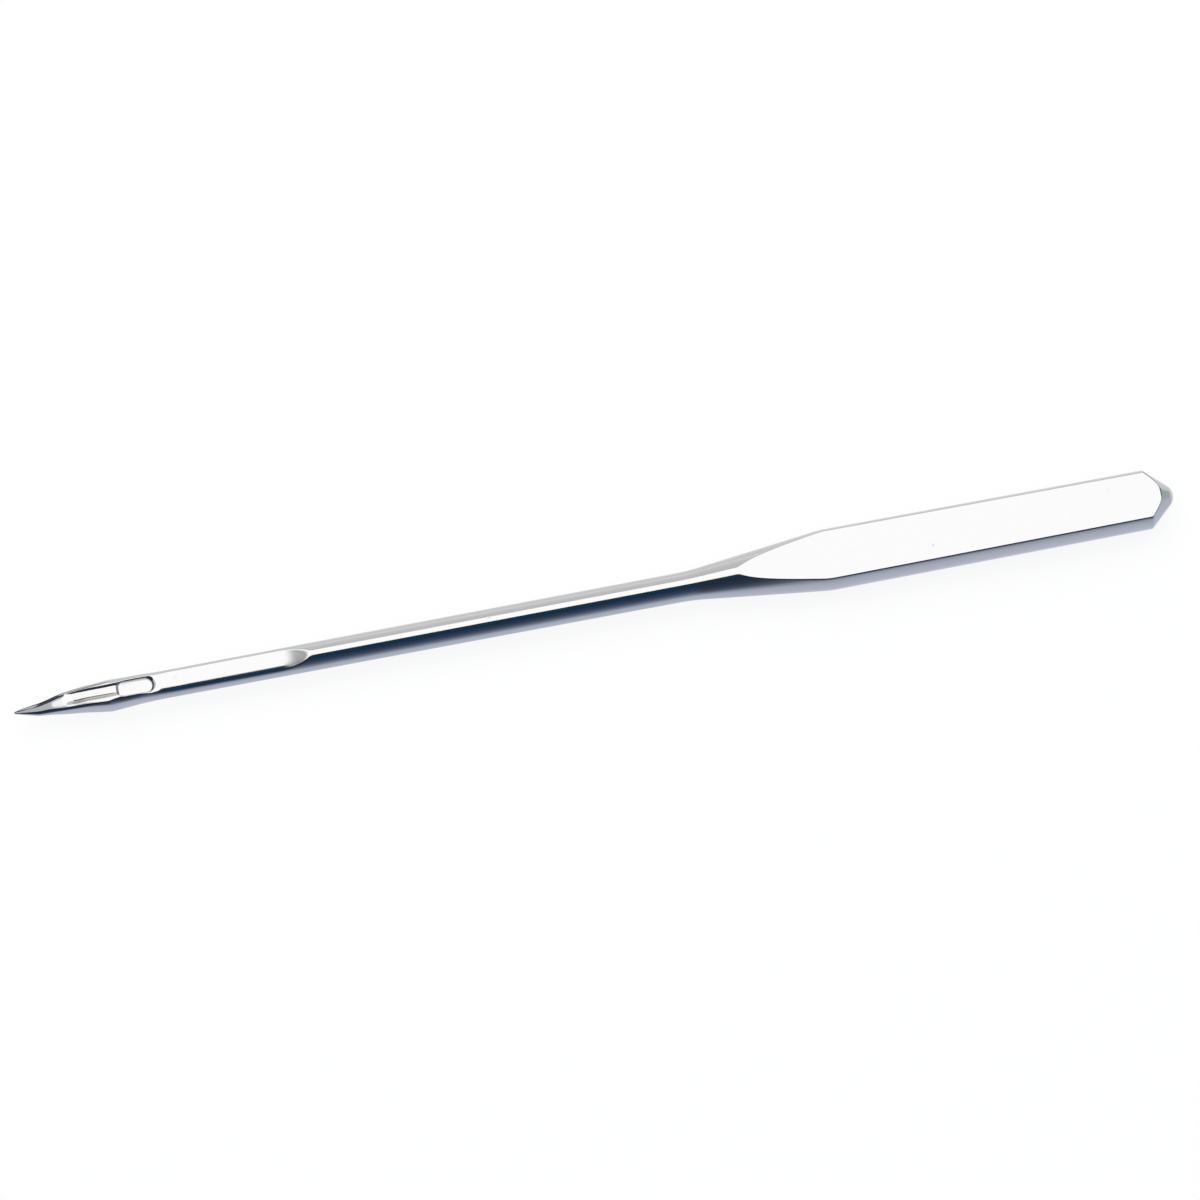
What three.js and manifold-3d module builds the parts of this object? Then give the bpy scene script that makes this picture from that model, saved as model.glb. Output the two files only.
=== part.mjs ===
// A flat-shank sewing machine needle: one length of hard steel wire, thick where the machine grips it
// and drawn down to a slender grooved blade with an eye and a rounded point.
//
// Millimetres. The needle lies along X. The middle of its butt is the origin and its point is
// towards -X. The shank's flat, the scarf, the eye's near side and the short groove face up (+Z),
// and the long groove that carries the thread faces down (-Z).
// A station is a distance from the butt along the needle: station s is at x = -s.

import * as THREE from 'three';
import { mergeVertices } from 'three/addons/utils/BufferGeometryUtils.js';
import Module from 'manifold-3d';

const degrees = THREE.MathUtils.degToRad;

// Shank: the thick round end with one flat side
const shankLength = 11.65;
const shankRadiusAtButt = 0.98;
const shankRadiusAtShoulder = 1.015;
const buttFaceRadius = 0.06;
const buttNoseRadius = 0.45;
const buttChamferAngle = degrees(48);
const flatHeight = 0.585;
const flatPastShank = 0.2;
const flatRunOutAngle = degrees(1.95);

// Shoulder: the cone between the shank and the blade
const shoulderLength = 4.55;
const shoulderRoundRadius = 3;
const neckRoundRadius = 7;

// Blade
const bladeRadiusAtNeck = 0.488;
const bladeRadiusAtScarf = 0.457;

// Eye
const buttToEye = 34.02;
const eyeLength = 1.09;
const eyeWidth = 0.46;
const eyeCornerRadius = 0.12;

// Point: the needle is widest just past the eye, narrows slowly from there and then quickly to the tip
const wideningLength = 0.9;
const widestPastEye = 0.34;
const widestRadius = 0.491;
const pointLength = 3.15;
const pointShoulderLength = 0.78;
const pointShoulderRadius = 0.25;
const pointShoulderRoundRadius = 1.5;
const tipRadius = 0.04;
const headDrop = 0.11;
const tipDrop = 0.04;

// Scarf: the scoop above the eye on the flat's side
const scarfAboveEye = 5.26;
const scarfRampLength = 0.85;
const scarfDepth = 0.11;
const scarfRiseLength = 1.5;

// Head flat: the side that the scarf, the eye and the short groove open to, pressed and ground flat
const headFlatHeight = 0.31;
const headFlatLength = 2.3;
const headFlatSlope = 0.115;
const pointFlatSlope = 0.16;

// Short groove: past the eye, in the head flat. Its floor runs along under the flat and climbs out of
// it at the end
const shortGrooveLength = 1.85;
const shortGrooveWidth = 0.4;
const shortGrooveFloor = 0.17;
const shortGrooveRunOut = 0.5;
const shortGrooveCorner = 0.08;

// Long groove: along the blade and past the eye, on the far side
const longGrooveAboveNeck = 2.75;
const longGroovePastEye = 1.5;
const longGrooveWidth = 0.36;
const longGrooveFloor = 0.06;
const longGrooveRunIn = 3.2;
const longGrooveRunOut = 0.9;
const longGrooveCorner = 0.16;

// How finely round stretches are divided
const sides = 48;
const noseSteps = 3;
const roundSteps = 4;
const bladeSteps = 8;
const swellSteps = 4;
const pointSteps = 6;
const tipSteps = 2;
const cornerSteps = 4;
const eyeSteps = 8;

// Cutting bodies reach this far beyond the needle
const reach = 1;

const neckStation = shankLength + shoulderLength;
const eyeEnd = buttToEye + eyeLength;
const widestStation = eyeEnd + widestPastEye;
const tipStation = widestStation + pointLength;
const scarfStart = buttToEye - scarfAboveEye;
const scarfFloor = bladeRadiusAtScarf - scarfDepth;
const longGrooveStart = neckStation - longGrooveAboveNeck;
const longGrooveEnd = eyeEnd + longGroovePastEye;
const cutTop = shankRadiusAtShoulder + reach;

const wasm = await Module();
wasm.setup();

// A solid for cutting, from a closed geometry
function toSolid(geometry) {
    const plain = geometry.clone();
    plain.deleteAttribute('normal');
    plain.deleteAttribute('uv');
    const merged = mergeVertices(plain, 1e-5);
    return new wasm.Manifold(new wasm.Mesh({
        numProp: 3,
        vertProperties: Float32Array.from(merged.attributes.position.array),
        triVerts: Uint32Array.from(merged.index.array),
    }));
}

function toGeometry(solid) {
    const mesh = solid.getMesh();
    const geometry = new THREE.BufferGeometry();
    geometry.setAttribute('position', new THREE.BufferAttribute(Float32Array.from(mesh.vertProperties), 3));
    geometry.setIndex(Array.from(mesh.triVerts));
    geometry.computeVertexNormals();
    return geometry;
}

// Points of an arc that rounds the corner at `corner` between two straight stretches
function roundedCorner(before, corner, after, radius, steps) {
    const inward = before.clone().sub(corner).normalize();
    const outward = after.clone().sub(corner).normalize();
    const halfAngle = Math.acos(THREE.MathUtils.clamp(inward.dot(outward), -1, 1)) / 2;
    const room = Math.min(corner.distanceTo(before), corner.distanceTo(after)) / 2;
    const tangent = Math.min(radius / Math.tan(halfAngle), room);
    const start = corner.clone().addScaledVector(inward, tangent);
    const end = corner.clone().addScaledVector(outward, tangent);
    return new THREE.QuadraticBezierCurve(start, corner, end).getPoints(steps);
}

// The round body's outline as (radius, x) pairs from the tip to the butt
function bodyOutline() {
    const at = (radius, station) => new THREE.Vector2(radius, -station);

    // The tip is a small ball that meets the flank at its own slope
    const flankSlope = Math.atan2(pointShoulderRadius, pointShoulderLength);
    const tipCentre = tipStation - tipRadius;
    const tip = [at(0, tipStation)];
    for (let i = 1; i <= tipSteps; i++) {
        const angle = (Math.PI / 2 - flankSlope) * i / tipSteps;
        tip.push(at(tipRadius * Math.sin(angle), tipCentre + tipRadius * Math.cos(angle)));
    }

    const widest = at(widestRadius, widestStation);
    const pointShoulder = at(pointShoulderRadius, tipStation - pointShoulderLength);
    const flank = [
        ...roundedCorner(tip[tipSteps], pointShoulder, widest, pointShoulderRoundRadius, roundSteps),
        ...new THREE.LineCurve(pointShoulder, widest).getPoints(pointSteps).slice(2),
    ];
    const swell = new THREE.LineCurve(
        widest,
        at(bladeRadiusAtScarf, widestStation - wideningLength),
    ).getPoints(swellSteps);

    const neck = at(bladeRadiusAtNeck, neckStation);
    const shoulder = at(shankRadiusAtShoulder, shankLength);
    const scarfEnd = at(bladeRadiusAtScarf, scarfStart);
    const blade = new THREE.LineCurve(scarfEnd, neck).getPoints(bladeSteps).slice(0, -1);

    // The butt: a chamfer that runs tangent into a rounded nose with a small flat in its middle
    const noseCentre = Math.sqrt(buttNoseRadius ** 2 - buttFaceRadius ** 2);
    const faceAngle = Math.asin(buttFaceRadius / buttNoseRadius);
    const chamferTurn = Math.PI / 2 - buttChamferAngle;
    const nose = [];
    for (let i = 0; i <= noseSteps; i++) {
        const angle = THREE.MathUtils.lerp(chamferTurn, faceAngle, i / noseSteps);
        nose.push(at(buttNoseRadius * Math.sin(angle), noseCentre - buttNoseRadius * Math.cos(angle)));
    }
    const chamferDepth = (shankRadiusAtButt - nose[0].x) / Math.tan(chamferTurn);
    const chamferEnd = at(shankRadiusAtButt, -nose[0].y + chamferDepth);

    return [
        ...tip,
        ...flank,
        ...swell.slice(1),
        ...blade,
        ...roundedCorner(scarfEnd, neck, shoulder, neckRoundRadius, roundSteps),
        ...roundedCorner(neck, shoulder, chamferEnd, shoulderRoundRadius, roundSteps),
        chamferEnd,
        ...nose,
        at(0, 0),
    ];
}

// How far the section's centre lies below the needle's axis: the head is pressed over to one side
function dropAt(station) {
    const pastEye = THREE.MathUtils.clamp((station - buttToEye) / (widestStation - buttToEye), 0, 1);
    const pastWidest = THREE.MathUtils.clamp((station - widestStation) / pointLength, 0, 1);
    return headDrop * pastEye + tipDrop * pastWidest;
}

// The wire before anything is cut out of it
function needleBody() {
    const geometry = new THREE.LatheGeometry(bodyOutline(), sides);
    geometry.rotateZ(-Math.PI / 2);
    const position = geometry.attributes.position;
    for (let i = 0; i < position.count; i++) {
        position.setZ(i, position.getZ(i) - dropAt(-position.getX(i)));
    }
    return toSolid(geometry);
}

// A body of the given width across the needle, from an outline of (station, z) corners
function acrossNeedle(corners, width) {
    const shape = new THREE.Shape(corners.map(([station, z]) => new THREE.Vector2(-station, z)));
    const geometry = new THREE.ExtrudeGeometry(shape, { depth: width, bevelEnabled: false });
    geometry.translate(0, 0, -width / 2);
    geometry.rotateX(Math.PI / 2);
    return toSolid(geometry);
}

// A channel along the needle that is open upwards and round at its two lower corners
function alongNeedle(start, end, bottom, width, cornerRadius) {
    const half = width / 2;
    const corner = Math.min(cornerRadius, half);
    const shape = new THREE.Shape();
    shape.moveTo(-half, cutTop);
    shape.lineTo(-half, bottom + corner);
    shape.absarc(-half + corner, bottom + corner, corner, Math.PI, 1.5 * Math.PI);
    shape.absarc(half - corner, bottom + corner, corner, 1.5 * Math.PI, 2 * Math.PI);
    shape.lineTo(half, cutTop);
    const options = { depth: end - start, bevelEnabled: false, curveSegments: cornerSteps };
    const geometry = new THREE.ExtrudeGeometry(shape, options);
    geometry.rotateX(Math.PI / 2);
    geometry.rotateZ(-Math.PI / 2);
    geometry.translate(-start, 0, 0);
    return toSolid(geometry);
}

// A groove: the part of a channel that lies above a floor given as (station, z) corners
function groove(floor, bottom, width, cornerRadius) {
    const start = floor[0][0];
    const end = floor[floor.length - 1][0];
    const aboveFloor = acrossNeedle([...floor, [end, cutTop], [start, cutTop]], 2 * width);
    return alongNeedle(start, end, bottom, width, cornerRadius).intersect(aboveFloor);
}

// The flat of the shank, which rises gently out of the shoulder
function flatCut() {
    const flatEnd = shankLength + flatPastShank;
    const runOutLength = (cutTop - flatHeight) / Math.tan(flatRunOutAngle);
    return acrossNeedle([
        [-reach, flatHeight],
        [flatEnd, flatHeight],
        [flatEnd + runOutLength, cutTop],
        [-reach, cutTop],
    ], 2 * cutTop);
}

function headFlatAt(station) {
    const past = station - eyeEnd;
    const bend = Math.max(past - headFlatLength, 0);
    return headFlatHeight - past * headFlatSlope - bend * (pointFlatSlope - headFlatSlope);
}

// The scarf and the head flat: a short ramp down, a level floor, a slow rise to the eye and a long
// fall to the tip
function scarfCut() {
    const rampSlope = scarfDepth / scarfRampLength;
    const riseStart = eyeEnd - scarfRiseLength;
    const riseSlope = (widestRadius - scarfFloor) / scarfRiseLength;
    const riseEnd = riseStart + (headFlatAt(riseStart) - scarfFloor) / (riseSlope + headFlatSlope);
    return acrossNeedle([
        [scarfStart - reach, bladeRadiusAtScarf + reach * rampSlope],
        [scarfStart + scarfRampLength, scarfFloor],
        [riseStart, scarfFloor],
        [riseEnd, headFlatAt(riseEnd)],
        [eyeEnd + headFlatLength, headFlatAt(eyeEnd + headFlatLength)],
        [tipStation + reach, headFlatAt(tipStation + reach)],
        [tipStation + reach, cutTop],
        [scarfStart - reach, cutTop],
    ], 2 * cutTop);
}

// The eye: round at its upper end, nearly square at its lower end
function eyeCut() {
    const half = eyeWidth / 2;
    const corner = Math.min(eyeCornerRadius, half);
    const shape = new THREE.Shape();
    shape.absarc(-buttToEye - half, 0, half, -Math.PI / 2, Math.PI / 2);
    shape.absarc(-eyeEnd + corner, half - corner, corner, Math.PI / 2, Math.PI);
    shape.absarc(-eyeEnd + corner, -half + corner, corner, Math.PI, 1.5 * Math.PI);
    const options = { depth: 2 * cutTop, bevelEnabled: false, curveSegments: eyeSteps };
    const geometry = new THREE.ExtrudeGeometry(shape, options);
    geometry.translate(0, 0, -cutTop);
    return toSolid(geometry);
}

function shortGrooveCut() {
    const start = eyeEnd - eyeCornerRadius;
    const end = eyeEnd + shortGrooveLength;
    const floorEnd = end - shortGrooveRunOut;
    const floorDrop = (floorEnd - eyeEnd) * headFlatSlope;
    const floor = [
        [start, shortGrooveFloor],
        [eyeEnd, shortGrooveFloor],
        [floorEnd, shortGrooveFloor - floorDrop],
        [end, headFlatAt(end)],
    ];
    return groove(floor, shortGrooveFloor - floorDrop, shortGrooveWidth, shortGrooveCorner);
}

// The long groove is made as if it faced up, then turned over about the needle's axis
function longGrooveCut() {
    const floor = [
        [longGrooveStart, shankRadiusAtShoulder],
        [longGrooveStart + longGrooveRunIn, longGrooveFloor],
        [longGrooveEnd - longGrooveRunOut, longGrooveFloor],
        [longGrooveEnd, widestRadius + headDrop],
    ];
    return groove(floor, longGrooveFloor, longGrooveWidth, longGrooveCorner).rotate([180, 0, 0]);
}

// Nickel plate, polished bright
const nickelPlate = new THREE.MeshStandardMaterial({ color: 0xc9ccd2, roughness: 0.18, metalness: 1 });

const needleSolid = needleBody()
    .subtract(flatCut())
    .subtract(scarfCut())
    .subtract(eyeCut())
    .subtract(shortGrooveCut())
    .subtract(longGrooveCut());

const needle = new THREE.Mesh(toGeometry(needleSolid), nickelPlate);
needle.name = 'needle';

const machineNeedle = new THREE.Group();
machineNeedle.add(needle);

export default machineNeedle;
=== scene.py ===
import math

import bpy
import numpy as np
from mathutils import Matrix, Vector


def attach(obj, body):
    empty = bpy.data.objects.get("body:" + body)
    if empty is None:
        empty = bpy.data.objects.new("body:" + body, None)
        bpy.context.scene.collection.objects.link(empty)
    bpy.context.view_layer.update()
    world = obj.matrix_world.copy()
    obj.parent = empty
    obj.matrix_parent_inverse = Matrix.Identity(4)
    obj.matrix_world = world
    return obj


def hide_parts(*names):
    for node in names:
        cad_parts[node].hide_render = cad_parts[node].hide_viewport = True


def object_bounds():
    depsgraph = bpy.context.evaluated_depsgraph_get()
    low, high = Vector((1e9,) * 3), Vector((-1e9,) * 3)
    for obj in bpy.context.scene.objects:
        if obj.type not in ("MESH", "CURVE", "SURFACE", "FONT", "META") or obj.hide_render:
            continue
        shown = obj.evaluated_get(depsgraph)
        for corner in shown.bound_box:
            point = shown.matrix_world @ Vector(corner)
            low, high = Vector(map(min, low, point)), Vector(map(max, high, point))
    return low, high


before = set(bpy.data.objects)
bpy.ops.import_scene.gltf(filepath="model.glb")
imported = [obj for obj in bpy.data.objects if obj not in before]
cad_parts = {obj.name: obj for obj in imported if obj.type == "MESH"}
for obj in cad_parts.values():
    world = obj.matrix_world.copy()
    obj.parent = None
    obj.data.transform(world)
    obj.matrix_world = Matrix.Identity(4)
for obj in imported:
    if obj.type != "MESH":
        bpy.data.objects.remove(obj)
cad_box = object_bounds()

# Camera: it stands over the ground side of the needle, 16 degrees off that side towards the front,
# and a little round to the butt's side, so that the point lies low on the left of the picture.
# A long lens keeps the two ends of the needle at one scale.

MM = 0.001
camera_turn = math.radians(-11.09)
camera_height = math.radians(73.8)
picture_width = 39.23 * MM
lens_length = 200
sensor_width = 36
picture_centre_station = 19.17
picture_centre_rise = 0.085

camera_data = bpy.data.cameras.new("camera")
camera_data.lens = lens_length
camera_data.sensor_width = sensor_width
camera_data.clip_start = 0.005
camera_data.clip_end = 20
camera = bpy.data.objects.new("camera", camera_data)
bpy.context.scene.collection.objects.link(camera)
towards_camera = Vector((
    math.sin(camera_turn) * math.cos(camera_height),
    -math.cos(camera_turn) * math.cos(camera_height),
    math.sin(camera_height),
))
camera.rotation_euler = towards_camera.to_track_quat("Z", "Y").to_euler()
picture_up = towards_camera.to_track_quat("Z", "Y") @ Vector((0, 1, 0))
camera_reach = picture_width * lens_length / sensor_width
camera.location = (Vector((-picture_centre_station * MM, 0, 0)) + picture_up * picture_centre_rise * MM
                   + towards_camera * camera_reach)
bpy.context.scene.camera = camera
bpy.context.scene.view_settings.view_transform = "Standard"

# Needle: one length of hardened steel wire, nickel plated and polished. The wire is turned to its
# outline, pressed round the eye, ground flat on the shank and the scarf, pressed again for the long
# and the short groove, punched for the eye and ground to a point.

# Outline of the turned wire, in millimetres. Places along it are counted from the butt.

shank_length = 11.65
butt_radius = 0.98
shoulder_radius = 1.015
butt_face_radius = 0.06
butt_nose_radius = 0.45
butt_chamfer_angle = math.radians(42)
chamfer_round = 0.06
shoulder_length = 4.55
shoulder_round = 3
neck_radius = 0.488
neck_round = 7
scarf_blade_radius = 0.457
butt_to_eye = 34.02
eye_length = 1.09
widening_length = 0.9
widening_round = 3
widest_past_eye = 0.34
widest_radius = 0.491
widest_round = 0.3
point_length = 3.149
point_shoulder_length = 0.78
point_shoulder_radius = 0.25
point_shoulder_round = 1.5
tip_radius = 0.04
nose_points = 12
ball_points = 9
corner_steps = 30
neck = shank_length + shoulder_length
eye_end = butt_to_eye + eye_length
widest = eye_end + widest_past_eye
tip = widest + point_length


def rounded_corner(before, corner, after, radius):
    """Points round the corner between two straight stretches of the outline."""
    before, corner, after = (np.array(point, dtype=float) for point in (before, corner, after))
    inward = (before - corner) / np.linalg.norm(before - corner)
    outward = (after - corner) / np.linalg.norm(after - corner)
    reach = radius / math.tan(math.acos(float(inward @ outward)) / 2)
    start = corner + inward * reach
    end = corner + outward * reach
    share = np.linspace(0, 1, corner_steps + 1)[:, None]
    return (1 - share) ** 2 * start + 2 * share * (1 - share) * corner + share ** 2 * end


nose_start_turn = math.asin(butt_face_radius / butt_nose_radius)
nose_end_turn = math.pi / 2 - butt_chamfer_angle
nose_turns = np.linspace(nose_start_turn, nose_end_turn, nose_points)
nose_centre = butt_nose_radius * math.cos(nose_start_turn)
nose = np.stack([nose_centre - butt_nose_radius * np.cos(nose_turns),
                 butt_nose_radius * np.sin(nose_turns)], axis=1)
chamfer_end = (nose[-1][0] + (butt_radius - nose[-1][1]) / math.tan(butt_chamfer_angle), butt_radius)
shoulder_corner = (shank_length, shoulder_radius)
neck_corner = (neck, neck_radius)
eye_corner = (widest - widening_length, scarf_blade_radius)
widest_corner = (widest, widest_radius)
point_shoulder = (tip - point_shoulder_length, point_shoulder_radius)
flank_turn = math.atan2(point_shoulder_radius, point_shoulder_length)
ball_turns = np.linspace(math.pi / 2 - flank_turn, 0, ball_points)
ball = np.stack([tip - tip_radius + tip_radius * np.cos(ball_turns),
                 tip_radius * np.sin(ball_turns)], axis=1)
outline = np.concatenate([
    nose,
    rounded_corner(nose[-1], chamfer_end, shoulder_corner, chamfer_round),
    rounded_corner(chamfer_end, shoulder_corner, neck_corner, shoulder_round),
    rounded_corner(shoulder_corner, neck_corner, eye_corner, neck_round),
    rounded_corner(neck_corner, eye_corner, widest_corner, widening_round),
    rounded_corner(eye_corner, widest_corner, point_shoulder, widest_round),
    rounded_corner(widest_corner, point_shoulder, ball[0], point_shoulder_round),
    ball,
])


def radius_at(s):
    """Radius of the turned wire at s millimetres from the butt."""
    return float(np.interp(s, outline[:, 0], outline[:, 1]))


# Ground sides: the shank's flat, and the scarf, which runs on over the head to the tip. The scarf
# is crowned a little across, and its near edge is rounder than its far one.

flat_height = 0.585
flat_end = shank_length + 0.2
flat_run_out = math.tan(math.radians(1.95))
flat_edge_round = 0.08
between_grounds = neck + 4
scarf_start = butt_to_eye - 5.18
scarf_ramp = 1.05
scarf_ramp_power = 2
scarf_depth = 0.11
scarf_floor = scarf_blade_radius - scarf_depth
scarf_floor_blend = 0.03
scarf_rise = 1.5
scarf_top = 0.505
scarf_crown = 0.37
scarf_far_crown = 0.15
scarf_edge_round = 0.1
scarf_far_edge_round = 0.05
head_flat_height = 0.355
head_flat_slope = 0.118
head_flat_length = 2.35
head_flat_blend = 0.02
point_flat_slope = 0.18
point_flat_blend = 0.01
point_edge_round = 0.5
point_edge_start = eye_end + 0.2
point_edge_full = eye_end + 1.6
least_edge_slope = 0.16
slim_edge_share = 3


def smooth(low, high, value):
    """0 below low, 1 above high, and an even curve between."""
    share = min(max((value - low) / (high - low), 0), 1)
    return share * share * (3 - 2 * share)


def between(first, second, share):
    """The value that lies this share of the way from the first to the second."""
    return first + share * (second - first)


def lower_of(a, b, blend):
    """The lower of two heights, with the corner between them rounded."""
    if blend <= 0:
        return min(a, b)
    overlap = max(blend - abs(a - b), 0) / blend
    return min(a, b) - overlap * overlap * blend / 4


def flat_at(s):
    """Height of the shank's flat, which runs out slowly over the shoulder."""
    return flat_height + max(0, s - flat_end) * flat_run_out


def head_flat_at(s):
    """Height of the flat on the head, which gets a little steeper towards the tip."""
    past = s - eye_end - head_flat_length
    head = head_flat_height - (past + head_flat_length) * head_flat_slope
    point = head_flat_height - head_flat_length * head_flat_slope - past * point_flat_slope
    return lower_of(head, point, point_flat_blend)


def scarf_at(s):
    """Height of the scarf's middle: a hollow ramp down, a level floor and a rise to the head's flat."""
    left = max(1 - (s - scarf_start) / scarf_ramp, 0)
    ramp = scarf_floor + scarf_depth * left ** scarf_ramp_power
    rise = scarf_floor + (s - eye_end + scarf_rise) / scarf_rise * (scarf_top - scarf_floor)
    return lower_of(-lower_of(-ramp, -rise, scarf_floor_blend), head_flat_at(s), head_flat_blend)


def ground_at(s):
    """Height of whichever side is ground at this station."""
    return flat_at(s) if s < between_grounds else scarf_at(s)


def edge_round_at(s, far):
    """Radius of the edge between the wire's round side and the ground side."""
    if s < between_grounds:
        edge_round = flat_edge_round
    elif far:
        edge_round = scarf_far_edge_round
    else:
        edge_round = scarf_edge_round
    return between(edge_round, point_edge_round, smooth(point_edge_start, point_edge_full, s))


# Head: the press squares it, pushes it to the back and leaves it a little twisted and shifted. The
# point's far flank is then ground narrower, with a slight facet beside the flat.

squareness = 0.8
square_start = 33.6
square_full = 34.6
square_until = 36.8
square_end = 37.5
head_drop = 0.11
head_drop_start = butt_to_eye + 0.2
tip_drop = 0.04
tip_drop_length = 1.4
head_sway = 0.03
head_sway_length = 1
head_twist = math.radians(7)
twist_start = butt_to_eye - 0.4
twist_end = widest + 0.6
far_flank_ground = 0.32
far_flank_start = tip - 1.6
far_flank_full = tip - 0.75
far_facet_slope = math.tan(math.radians(14))
far_facet_reach = 0.24
far_facet_start = tip - 1.9
far_facet_full = tip - 0.6


def squareness_at(s):
    """Exponent of the section: 2 is round, and the press makes it squarer round the eye."""
    return 2 + squareness * smooth(square_start, square_full, s) * (1 - smooth(square_until, square_end, s))


def drop_at(s):
    """How far the press pushes the head under the wire's axis."""
    return head_drop * smooth(head_drop_start, widest, s) + tip_drop * smooth(tip - tip_drop_length, tip, s)


def sway_at(s):
    """How far the head lies to the far side of the wire's axis."""
    return head_sway * smooth(widest, widest + head_sway_length, s)


def twist_at(s):
    """Angle by which the head is twisted towards the far side."""
    return head_twist * smooth(twist_start, twist_end, s)


def far_part(s):
    """How much of the point's width the grinder leaves on the far side."""
    ground_off = smooth(far_flank_start, far_flank_full, s)
    return 1 - far_flank_ground * ground_off * (1 - smooth(far_flank_full, tip, s))


def far_facet(s, y):
    """How deep the point's far facet lies under the flat."""
    edge = far_facet_reach * (1 - smooth(far_facet_start, far_facet_full, s))
    return max(y - edge, 0) * far_facet_slope if s > far_facet_start else 0


# Grooves: half widths, and how far each wall's foot and rim are rounded. The eye's rims are rounder
# than the short groove's, most of all at the upper end, where the thread runs in.

short_half = 0.23
short_near_half = 0.15
short_far_half = 0.215
short_foot = 0.05
short_near_foot = 0.14
short_rim = 0.045
short_land = 0.34
short_floor = 0.295
short_floor_slope = 0.122
short_end = eye_end + 1.8
short_run_out = 0.3
eye_floor = 0.17
eye_rim = 0.1
eye_end_rim = 0.36
eye_walls_start = butt_to_eye - 2 * eye_end_rim
long_half = 0.18
long_foot = 0.1
long_rim = 0.04
long_land = 0.3
long_floor_depth = 0.06
long_start = neck - 2.75
long_walls_start = long_start - 0.5
long_run_in = 3.2
long_run_out = 0.9
long_end = eye_end + 1.5
groove_floor_blend = 0.02

# Rows of the mesh run along the wire, counted from the middle of its top to the middle of its back.
# Some are kept close together on a groove's walls and on the edges of the ground sides.

rows = 64
floor_row = 5
hole_row = 8
rim_row = 14
land_row = 19
edge_first_row = 13
edge_last_row = 19
row_foot = 0.07
row_rim = 0.07
gather = 2
slim_rows_share = 2.4
eye_rows_start = 32.6
eye_rows_full = 33.4
arch_end = flat_end + 3
edge_rows_start = flat_end + 1
edge_rows_end = scarf_start - 6
least_edge_angle = 0.3
edge_rows_width = 0.04
edge_rows_share = 0.35
largest_edge_sine = 0.985
tiny = 1e-6


def groove_place(row, half, foot, rim, land):
    """Distance of a row from the groove's middle."""
    if row <= floor_row:
        return (half - foot) * row / floor_row
    if row <= rim_row:
        up_wall = 2 * (row - floor_row) / (rim_row - floor_row) - 1
        return half + (rim if up_wall > 0 else -foot) * abs(up_wall) ** gather
    return half + rim + (land - half - rim) * (row - rim_row) / (land_row - rim_row)


def wall_rise(distance, foot, rim):
    """0 on a groove's floor and 1 on its land, by the distance from its wall."""
    reach = rim if distance > 0 else foot
    share = 0.5 + 0.5 * math.copysign(min(abs(distance) / reach, 1) ** (1 / gather), distance)
    return share * share * (3 - 2 * share)


short_places = [groove_place(row, short_half, row_foot, row_rim, short_land) for row in range(land_row + 1)]
long_places = [groove_place(row, long_half, long_foot, long_rim, long_land) for row in range(land_row + 1)]


def groove_scale(s):
    """The grooves' rows draw together where the point is slimmer than they are wide."""
    return min(1, slim_rows_share * radius_at(s))


def row_angles(s):
    """Angle from the top of the section to each row at this station."""
    radius = max(radius_at(s), tiny)
    flat_angle = math.acos(min(max(ground_at(s) / radius, -1), 1)) if s < arch_end else 0
    scarf_angle = math.acos(scarf_floor / scarf_blade_radius)
    past_arch = smooth(edge_rows_start, edge_rows_end, s)
    edge = (1 - past_arch) * max(flat_angle, least_edge_angle) + past_arch * scarf_angle
    across = radius * math.sin(edge)
    width = min(edge_rows_width, edge_rows_share * across)
    inner = math.asin((across - width) / radius)
    outer = math.asin(min((across + width) / radius, largest_edge_sine))
    count = np.arange(rows + 1)
    sines = np.interp(count, [0, edge_first_row, edge_last_row], [0, math.sin(inner), math.sin(outer)])
    past_edge = np.interp(count, [edge_last_row, rows], [outer, math.pi])
    plain = np.where(count <= edge_last_row, np.arcsin(sines), past_edge)
    scale = groove_scale(s)
    top = np.arcsin(np.minimum(np.array(short_places) * scale / radius, 1))
    plain[:land_row + 1] += smooth(eye_rows_start, eye_rows_full, s) * (top - plain[:land_row + 1])
    back = math.pi - np.arcsin(np.minimum(np.array(long_places) * scale / radius, 1))[::-1]
    side = np.linspace(plain[land_row], back[0], rows - 2 * land_row + 1)
    gathered = np.concatenate([plain[:land_row + 1], side[1:-1], back])
    return plain + smooth(flat_end, long_start, s) * (gathered - plain)


# Rings of the mesh lie across the wire. Each stretch up to a place has its own spacing, closer
# where the shape changes, and the eye's upper end has a ring for each row of its wall.

web_round = 0.13
round_end = butt_to_eye + short_half
rings_to_eye = [
    (nose[-1][0], 0.02),
    (chamfer_end[0] - chamfer_round, 0.03),
    (chamfer_end[0] + chamfer_round, 0.012),
    (shank_length - 0.25, 0.3),
    (flat_end, 0.05),
    (neck - 0.6, 0.06),
    (neck + 0.6, 0.08),
    (scarf_start - 0.2, 0.35),
    (scarf_start + scarf_ramp + 0.2, 0.06),
    (butt_to_eye - 0.7, 0.2),
    (butt_to_eye - row_rim, 0.05),
]
rings_past_wall = [
    (round_end, 0.035),
    (eye_end, 0.06),
    (eye_end + web_round, 0.012),
    (tip - 0.8, 0.06),
    (tip - tip_radius, 0.05),
    (tip, 0.008),
]


def add_rings(places, stretches):
    """Adds rings up to the end of each stretch, about as far apart as its spacing."""
    for end, spacing in stretches:
        count = max(1, round((end - places[-1]) / spacing))
        places.extend(np.linspace(places[-1], end, count + 1)[1:])


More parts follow.
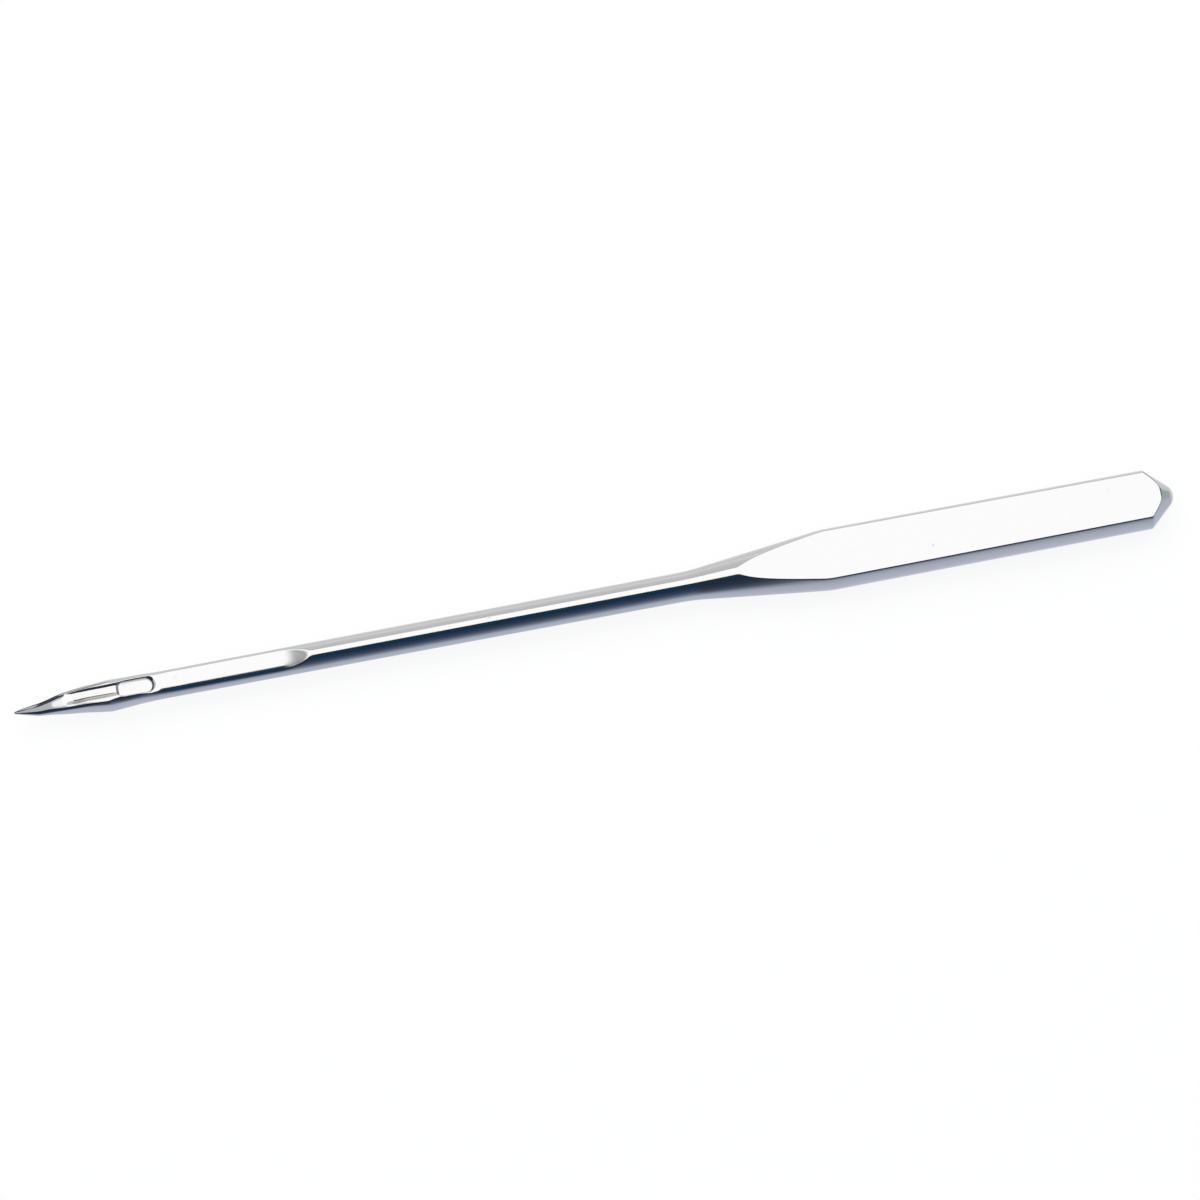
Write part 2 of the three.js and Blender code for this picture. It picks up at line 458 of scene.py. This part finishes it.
stations = [0, nose[1][0] / 2]
add_rings(stations, rings_to_eye)
for row in range(rim_row - 1, floor_row - 1, -1):
    stations.append(round_end - short_places[row])
add_rings(stations, rings_past_wall)
stations = np.array(stations)
hole_ring = int(np.argmin(abs(stations - (round_end - short_places[hole_row]))))
web_ring = int(np.argmin(abs(stations - eye_end)))

# Turned wire: a point is extruded from ring to ring along the outline and spun round the axis.

seed_size = 0.1
weld_distance = 1e-5

bpy.ops.object.select_all(action="DESELECT")
bpy.ops.mesh.primitive_plane_add(size=seed_size)
needle = bpy.context.object
needle.name = "needle_wire"
bpy.ops.object.mode_set(mode="EDIT")
bpy.ops.mesh.merge(type="CENTER")
here = np.zeros(2)
for station in stations:
    there = np.array([station, radius_at(station)])
    step = there - here
    bpy.ops.mesh.extrude_region_move(TRANSFORM_OT_translate={"value": (-step[0], 0, step[1])})
    here = there
bpy.ops.mesh.select_all(action="SELECT")
bpy.ops.mesh.spin(steps=2 * rows, angle=2 * math.pi, center=(0, 0, 0), axis=(1, 0, 0))
bpy.ops.mesh.select_all(action="SELECT")
bpy.ops.mesh.remove_doubles(threshold=weld_distance)
bpy.ops.mesh.normals_make_consistent(inside=False)
bpy.ops.mesh.select_all(action="DESELECT")
bpy.ops.object.mode_set(mode="OBJECT")

# Pressed, ground and punched wire: each point of the turned wire moves to its place, and round the
# eye's ends the rings and rows are bent first, so that they follow its half circle and its corners.

eased_row = land_row + 10
eye_bend_reach = 2
eye_bend_fade = 0.4
hole_bend_fade = 0.5
web_corner = 0.14
web_bend_fade = 0.35
web_half = 0.1


def ring_of(x):
    """The ring that a point of the turned wire lies on."""
    return int(np.argmin(abs(stations + x)))


def row_of(y, z):
    """The row that a point of the turned wire lies on."""
    return abs(math.atan2(y, z)) / math.pi * rows


def near_groove(row):
    """1 on a groove's own rows, and 0 on the wire's sides."""
    return 1 - smooth(land_row, eased_row, row)


def round_eye_end(s, y, row):
    """Draws the rows and rings round the eye's upper end into half circles."""
    above = round_end - s
    if above <= 0 or row > eased_row:
        return s, y
    reach = max(above, y)
    share = min(above, y) / reach
    longer = reach * math.sqrt(1 - share * share / 2)
    shorter = reach * share / math.sqrt(2)
    round_above, round_y = (longer, shorter) if above >= y else (shorter, longer)
    keep = smooth(short_half + row_rim, short_half + row_rim + eye_bend_fade, reach)
    keep = 1 - (1 - keep) * near_groove(row)
    return s + (1 - keep) * (above - round_above), y + (1 - keep) * (round_y - y)


def bend_hole_end(s, y, row):
    """Bends the rings under the eye to the same half circle, without moving the long groove's walls."""
    inside = min(y, long_half)
    bend = short_half - math.sqrt(short_half ** 2 - inside ** 2)
    return s + bend * (1 - smooth(0, hole_bend_fade, abs(s - butt_to_eye))) * near_groove(rows - row)


def bend_web(s, y, row):
    """Rounds the corners at the eye's lower end, where the web between eye and short groove begins."""
    over = min(max(y - short_half + web_corner, 0), web_corner)
    bend = web_corner - math.sqrt(web_corner ** 2 - over ** 2)
    return s - bend * (1 - smooth(0, web_bend_fade, abs(s - eye_end))) * near_groove(row)


def bend_round_eye(s, y, row, top):
    """Where a point lies once the rings and rows are bent round both ends of the eye."""
    if top:
        s, y = round_eye_end(s, y, row)
        return bend_web(s, y, row), y
    s = bend_hole_end(s, y, row)
    return bend_web(s, min(y, long_half), rows - row), y


def web_fall(s):
    """How far a groove's floor falls away as it rounds over the web's edge into the eye."""
    inward = min(max(web_round - (s - eye_end), 0), web_round)
    return web_round - math.sqrt(web_round ** 2 - inward ** 2) if s > eye_end - tiny else 0


def short_floor_at(s):
    """Height of the short groove's floor, which climbs to the head's flat at its end."""
    bed = short_floor - max(s - eye_end, 0) * short_floor_slope
    return max(bed, head_flat_at(s) - (short_end - s) * short_run_out)


def long_floor_at(s):
    """How far behind the axis the long groove's floor lies, from its run in to its run out."""
    run_in = between(shoulder_radius, long_floor_depth, (s - long_start) / long_run_in)
    run_out = between(long_floor_depth, scarf_top + head_drop, (s - long_end + long_run_out) / long_run_out)
    return max(run_in, long_floor_depth, run_out)


def short_wall(s, y, far):
    """1 in the short groove and the eye, 0 on the land round them."""
    along = max(round_end - s, 0)
    distance = math.hypot(along, y)
    to_groove = smooth(eye_end - web_half, eye_end + web_half, s)
    side_rim = between(eye_rim, short_rim, to_groove) if far else short_rim
    rim = between(side_rim, eye_end_rim, (along / max(distance, tiny)) ** 2)
    foot = between(short_foot, short_foot if far else short_near_foot, to_groove)
    half = between(short_half, short_far_half if far else short_near_half, to_groove)
    return 1 - wall_rise(distance - half, foot, rim)


def press(ring, row, far):
    """Place of one point of the turned wire after the press, the grinder and the punch."""
    s = ring_s = stations[ring]
    angle = angles[ring][row]
    exponent = squareness_at(s)
    radius = max(radius_at(s), tiny)
    powers = abs(math.sin(angle)) ** exponent + abs(math.cos(angle)) ** exponent
    reach = radius * powers ** (-1 / exponent)
    y = reach * math.sin(angle)
    z = reach * math.cos(angle)
    if abs(s - butt_to_eye) < eye_bend_reach:
        bent_s, bent_y = bend_round_eye(s, y, row, angle < math.pi / 2)
        if bent_s != s or bent_y != y:
            s, y = bent_s, bent_y
            exponent = squareness_at(s)
            z = math.copysign((radius_at(s) ** exponent - y ** exponent) ** (1 / exponent), z)
    drop = drop_at(s)
    z -= drop

    ground = ground_at(s)
    slope = math.acos(min(max((ground + drop) / radius, -1), 1))
    slope = math.hypot(slope, least_edge_slope if s > flat_end else 0)
    blend = 4 * edge_round_at(s, far) * (1 / math.cos(slope / 2) - 1) / math.cos(slope / 2)
    if s > between_grounds:
        blend *= min(1, slim_edge_share * radius)
        crown = scarf_far_crown if far else scarf_crown
        ground -= crown * y * y * (1 - smooth(butt_to_eye, eye_end, s))
        ground -= far_facet(s, y) if far else 0
    z = lower_of(z, ground, blend)

    if row <= land_row and s > eye_walls_start:
        bottom = eye_floor if ring < web_ring else short_floor_at(s) - web_fall(ring_s)
        z += lower_of(bottom - z, 0, groove_floor_blend) * short_wall(s, y, far)
    if row >= rows - land_row and s > long_walls_start:
        bottom = web_fall(ring_s) - long_floor_at(s)
        long_wall = 1 - wall_rise(y / groove_scale(s) - long_half, long_foot, long_rim)
        z -= lower_of(z - bottom, 0, groove_floor_blend) * long_wall

    across = y * far_part(s) if far else -y
    height = z + drop
    turn = twist_at(s)
    return (s, sway_at(s) + across * math.cos(turn) + height * math.sin(turn),
            height * math.cos(turn) - across * math.sin(turn) - drop)


angles = [row_angles(station) for station in stations]
rings_of_points = [ring_of(point.co.x) for point in needle.data.vertices]
rows_of_points = [row_of(point.co.y, point.co.z) for point in needle.data.vertices]
for face in needle.data.polygons:
    ring_span = [rings_of_points[i] for i in face.vertices]
    face_row = row_of(face.center.y, face.center.z)
    over_hole = face_row < hole_row or face_row > rows - hole_row
    face.select = over_hole and min(ring_span) >= hole_ring and max(ring_span) <= web_ring
for point, ring, row in zip(needle.data.vertices, rings_of_points, rows_of_points):
    y, z = point.co.yz
    if math.hypot(y, z) > tiny:
        s, across, height = press(ring, round(row), y > 0)
        point.co = (-s, across, height)
    elif ring > 0:
        point.co.y = head_sway
        point.co.z = -drop_at(tip)

# Eye: the faces over the hole are taken away on both sides, and the two openings are joined.

hole_wall_cuts = 4

bpy.ops.object.mode_set(mode="EDIT")
bpy.ops.mesh.select_mode(type="FACE")
bpy.ops.mesh.delete(type="FACE")
bpy.ops.mesh.select_mode(type="EDGE")
bpy.ops.mesh.select_all(action="DESELECT")
bpy.ops.mesh.select_non_manifold(extend=False, use_wire=False, use_multi_face=False,
                                 use_non_contiguous=False, use_verts=False)
bpy.ops.mesh.bridge_edge_loops(number_cuts=hole_wall_cuts, interpolation="LINEAR")
bpy.ops.mesh.select_all(action="SELECT")
bpy.ops.mesh.normals_make_consistent(inside=False)
bpy.ops.mesh.select_all(action="DESELECT")
bpy.ops.object.mode_set(mode="OBJECT")
bpy.ops.object.shade_smooth()
needle.scale = (MM, MM, MM)
bpy.ops.object.transform_apply(location=False, rotation=False, scale=True)


class Shade:
    """A socket of a shader, written in expressions."""

    def __init__(self, tree, socket=None):
        self.tree = tree
        self.socket = socket

    def node(self, kind, settings=None, values=None, output=0):
        """Makes a node with its settings and inputs, and gives one of its outputs."""
        made = self.tree.nodes.new(kind)
        for name, setting in (settings or {}).items():
            if name == "stops":
                for place, colour in setting[len(made.color_ramp.elements):]:
                    made.color_ramp.elements.new(place)
                for element, (place, colour) in zip(made.color_ramp.elements, setting):
                    element.position = place
                    element.color = colour
            else:
                setattr(made, name, setting)
        for name, value in (values or {}).items():
            if isinstance(value, Shade):
                self.tree.links.new(value.socket, made.inputs[name])
            else:
                made.inputs[name].default_value = value
        return Shade(self.tree, made.outputs[output] if made.outputs else None)

    def maths(self, operation, *values):
        return self.node("ShaderNodeMath", {"operation": operation}, dict(enumerate(values)))

    def __add__(self, other):
        return self.maths("ADD", self, other)

    def __radd__(self, other):
        return self.maths("ADD", other, self)

    def __sub__(self, other):
        return self.maths("SUBTRACT", self, other)

    def __rsub__(self, other):
        return self.maths("SUBTRACT", other, self)

    def __mul__(self, other):
        return self.maths("MULTIPLY", self, other)

    def __rmul__(self, other):
        return self.maths("MULTIPLY", other, self)

    def __truediv__(self, other):
        return self.maths("DIVIDE", self, other)

    def axis(self, vector, name):
        """One axis of a vector."""
        return self.node("ShaderNodeSeparateXYZ", {}, {"Vector": vector}, name)

    def mix(self, factor, first, second):
        """A mix of two colours, whose sockets are numbers 6 and 7, with the result in number 2."""
        return self.node("ShaderNodeMix", {"data_type": "RGBA"}, {0: factor, 6: first, 7: second}, 2)

    def part(self, low, high):
        """0 below low and 1 above high."""
        return self.node("ShaderNodeMapRange", {"interpolation_type": "SMOOTHSTEP"},
                         {"Value": self, "From Min": low, "From Max": high})


def new_shader(owner):
    """The empty shader of a new material or world."""
    owner.use_nodes = True
    owner.node_tree.nodes.clear()
    return Shade(owner.node_tree)


# Plating: bright nickel with fine lines along the needle, faint clouds and a few pits. The grinding
# on the scarf's ramp is rougher, and the walls of the eye get a near-white colour, a painted highlight.

per_mm = 1 / MM
nickel_colour = (0.54, 0.54, 0.545, 1)
# Near-white colour of the eye's walls: a painted highlight.
eye_painted_highlight = (0.95, 0.95, 0.95, 1)
eye_highlight_start = (butt_to_eye - 0.05, butt_to_eye + 0.05)
eye_highlight_end = (eye_end, eye_end + 0.04)
eye_highlight_side = (short_half, short_half + 0.03)
eye_highlight_top = (0.16, 0.25)
grinding_start = (scarf_start - 0.3, scarf_start)
grinding_end = (scarf_start + 0.35, scarf_start + 0.95)
grinding_side = (scarf_blade_radius - 0.02, scarf_blade_radius - 0.003)
line_stretch = (400, 24000, 24000)
line_detail = 3
cloud_scale = 900
cloud_detail = 4
pit_scale = 1100
pit_edge = (0.03, 0.09)
polish_roughness = 0.04
cloud_roughness = 0.04
line_roughness = 0.04
pit_roughness = 0.2
grinding_roughness = 0.45
line_relief = 0.5
cloud_relief = 0.3
pit_relief = 2
relief_strength = 0.1
relief_depth = 0.000002

nickel = bpy.data.materials.new("polished_nickel")
shader = new_shader(nickel)
place = shader.node("ShaderNodeTexCoord", output="Object")
along = shader.axis(place, "X") * -per_mm
across = shader.maths("ABSOLUTE", shader.axis(place, "Y") * per_mm)
height = shader.axis(place, "Z") * per_mm
# Mask of the eye's walls, where the painted highlight goes.
eye_highlight_mask = along.part(*eye_highlight_start) * (1 - along.part(*eye_highlight_end))
eye_highlight_mask = eye_highlight_mask * (1 - across.part(*eye_highlight_side)) * (1 - height.part(*eye_highlight_top))
stretched = shader.node("ShaderNodeVectorMath", {"operation": "MULTIPLY"}, {0: place, 1: line_stretch})
lines = shader.node("ShaderNodeTexNoise", {}, {"Vector": stretched, "Scale": 1, "Detail": line_detail})
cloud = shader.node("ShaderNodeTexNoise", {}, {"Vector": place, "Scale": cloud_scale, "Detail": cloud_detail})
pits = shader.node("ShaderNodeTexVoronoi", {}, {"Vector": place, "Scale": pit_scale})
pitted = 1 - pits.part(*pit_edge)
from_axis = shader.maths("SQRT", across * across + height * height)
on_ramp = along.part(*grinding_start) * (1 - along.part(*grinding_end))
on_ramp = on_ramp * (1 - from_axis.part(*grinding_side))
roughness = polish_roughness + cloud_roughness * cloud + line_roughness * lines
roughness = roughness + pit_roughness * pitted + grinding_roughness * on_ramp
relief = lines * line_relief + cloud * cloud_relief - pitted * pit_relief
surface = shader.node("ShaderNodeBump", {}, {
    "Strength": relief_strength, "Distance": relief_depth, "Height": relief})
metal = shader.node("ShaderNodeBsdfPrincipled", {}, {
    "Base Color": shader.mix(eye_highlight_mask, nickel_colour, eye_painted_highlight), "Metallic": 1,
    "Roughness": roughness, "Normal": surface})
shader.node("ShaderNodeOutputMaterial", {}, {"Surface": metal})
needle.data.materials.append(nickel)

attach(needle, "root")
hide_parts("needle")

# Studio floor: pale paper that the camera sees as white. What the polished metal sees of it is painted:
# a painted shadow from blue grey at the front to white, a painted pale reflection past the butt and a painted
# dark one beyond the tip.

floor_size = 4
floor_level = cad_box[0][2]
floor_colour = (0.9, 0.9, 0.9, 1)
floor_glow = 0.88
# Painted shadow of the needle, seen only in the metal: blue grey in front, darker further to the front, white
# past the axis.
painted_floor_shadow = [
    (0.0, (0.36, 0.41, 0.52, 1)), (0.37, (0.54, 0.60, 0.71, 1)), (0.60, (0.68, 0.74, 0.86, 1)),
    (0.72, (0.74, 0.79, 0.92, 1)), (0.75, (0.72, 0.75, 0.87, 1)), (0.765, (1.0, 1.0, 1.0, 1)),
]
painted_shadow_start = -0.012
painted_shadow_end = 0.003
# Places of the painted pale reflection past the butt, and of the painted dark one beyond the tip and past the
# axis.
past_butt = (0.004, 0.02)
before_tip = (-0.0381, -0.0373)
past_axis = (-0.0004, 0.0003)
# Colours of the painted dark and pale reflections on the floor; the room's own light below uses them too.
dark_end_colour = (0.03, 0.04, 0.05, 1)
pale_end_colour = (0.57, 0.65, 0.67, 1)
white = (1, 1, 1, 1)

bpy.ops.object.select_all(action="DESELECT")
bpy.ops.mesh.primitive_plane_add(size=floor_size, location=(0, 0, floor_level))
floor = bpy.context.object
floor.name = "studio_floor"
paper = bpy.data.materials.new("pale_paper")
shader = new_shader(paper)
seen = shader.node("ShaderNodeLightPath", output="Is Camera Ray")
shiny = shader.node("ShaderNodeLightPath", output="Is Glossy Ray")
clear = shader.node("ShaderNodeLightPath", output="Is Transmission Ray")
place = shader.node("ShaderNodeTexCoord", output="Object")
along = shader.axis(place, "X")
across = shader.axis(place, "Y")
from_front = (across - painted_shadow_start) / (painted_shadow_end - painted_shadow_start)
# Painted shadow in what the metal sees of the floor, by the distance across it.
painted_reflection = shader.node("ShaderNodeValToRGB", {"stops": painted_floor_shadow}, {"Fac": from_front})
# Painted pale reflection past the butt.
painted_reflection = shader.mix(along.part(*past_butt), painted_reflection, pale_end_colour)
# Painted dark reflection beyond the tip, on the far side of the axis.
painted_dark_mask = 1 - along.part(*before_tip)
painted_reflection = shader.mix(painted_dark_mask * across.part(*past_axis), painted_reflection, dark_end_colour)
matt = shader.node("ShaderNodeBsdfDiffuse", {}, {"Color": floor_colour})
# White to the camera and through glass; to the metal, the painted shadow and painted reflections.
pale = shader.node("ShaderNodeEmission", {}, {"Color": shader.mix(shiny, white, painted_reflection), "Strength": 1})
share = seen * floor_glow + shiny + clear * floor_glow
both = shader.node("ShaderNodeMixShader", {}, {0: share, 1: matt, 2: pale})
shader.node("ShaderNodeOutputMaterial", {}, {"Surface": both})
floor.data.materials.append(paper)

# Lamps: a soft one close over the needle's far side, a dimmer one beyond the tip, a white card
# behind, and a weak fill overhead that the metal doesn't show.

lamp_height = 0.15
lamp_ends = (-0.085, 0.035)
lamp_sides = (lamp_height * math.tan(math.radians(-1.5)), lamp_height * math.tan(math.radians(37)))
lamp_brightness = 1.78
lamp_colour = (1, 0.98, 0.94)
dim_lamp_ends = (-0.16, -0.085)
dim_lamp_sides = (lamp_sides[0], 0.13)
dim_lamp_brightness = 0.75
card_ends = (-0.071, 0.035)
card_levels = (floor_level, lamp_height)
card_brightness = 0.86
card_colour = (1, 0.965, 0.885)
fill_height = 0.6
fill_size = 1.2
fill_brightness = 1.2


def middle(ends):
    """Halfway between two ends."""
    return sum(ends) / 2


def span(ends):
    """Length from one end to the other."""
    return ends[1] - ends[0]


def add_lamp(name, centre, size, brightness, colour=(1, 1, 1), turn=0, shows=True):
    """A rectangular lamp that the camera doesn't see; brightness 1 shows as white in a mirror."""
    data = bpy.data.lights.new(name, "AREA")
    data.shape = "RECTANGLE"
    data.size, data.size_y = size
    data.energy = brightness * math.pi * size[0] * size[1]
    data.color = colour
    lamp = bpy.data.objects.new(name, data)
    lamp.location = centre
    lamp.rotation_euler = (turn, 0, 0)
    lamp.visible_camera = False
    lamp.visible_glossy = shows
    bpy.context.scene.collection.objects.link(lamp)


add_lamp("softbox", (middle(lamp_ends), middle(lamp_sides), lamp_height),
         (span(lamp_ends), span(lamp_sides)), lamp_brightness, lamp_colour)
add_lamp("dim_softbox", (middle(dim_lamp_ends), middle(dim_lamp_sides), lamp_height),
         (span(dim_lamp_ends), span(dim_lamp_sides)), dim_lamp_brightness)
add_lamp("white_card", (middle(card_ends), lamp_sides[1], middle(card_levels)),
         (span(card_ends), span(card_levels)), card_brightness, card_colour, turn=-math.pi / 2)
add_lamp("fill", (0, 0, fill_height), (fill_size, fill_size), fill_brightness, shows=False)

# Room: white to the camera. In the metal it is blue grey and dark overhead, darker still past the
# tip and pale past the butt.

room_shade = [
    (0.0, (0.30, 0.35, 0.46, 1)), (0.26, (0.15, 0.185, 0.27, 1)), (0.5, (0.075, 0.095, 0.16, 1)),
    (0.77, (0.03, 0.062, 0.125, 1)), (0.9, (0.014, 0.05, 0.115, 1)), (1.0, (0.014, 0.05, 0.115, 1)),
]
room_dark_share = 0.65
room_dark_end = (-0.2, -0.03)
room_pale_end = (0.4, 0.9)

world = bpy.data.worlds.new("studio")
bpy.context.scene.world = world
shader = new_shader(world)
direction = shader.node("ShaderNodeTexCoord", output="Generated")
end_side = shader.axis(direction, "X")
room = shader.node("ShaderNodeValToRGB", {"stops": room_shade}, {"Fac": shader.axis(direction, "Z")})
room = shader.mix(room_dark_share * (1 - end_side.part(*room_dark_end)), room, dark_end_colour)
room = shader.mix(end_side.part(*room_pale_end), room, pale_end_colour)
seen = shader.node("ShaderNodeLightPath", output="Is Camera Ray")
light = shader.node("ShaderNodeBackground", {}, {"Color": shader.mix(seen, room, white), "Strength": 1})
shader.node("ShaderNodeOutputWorld", {}, {"Surface": light})
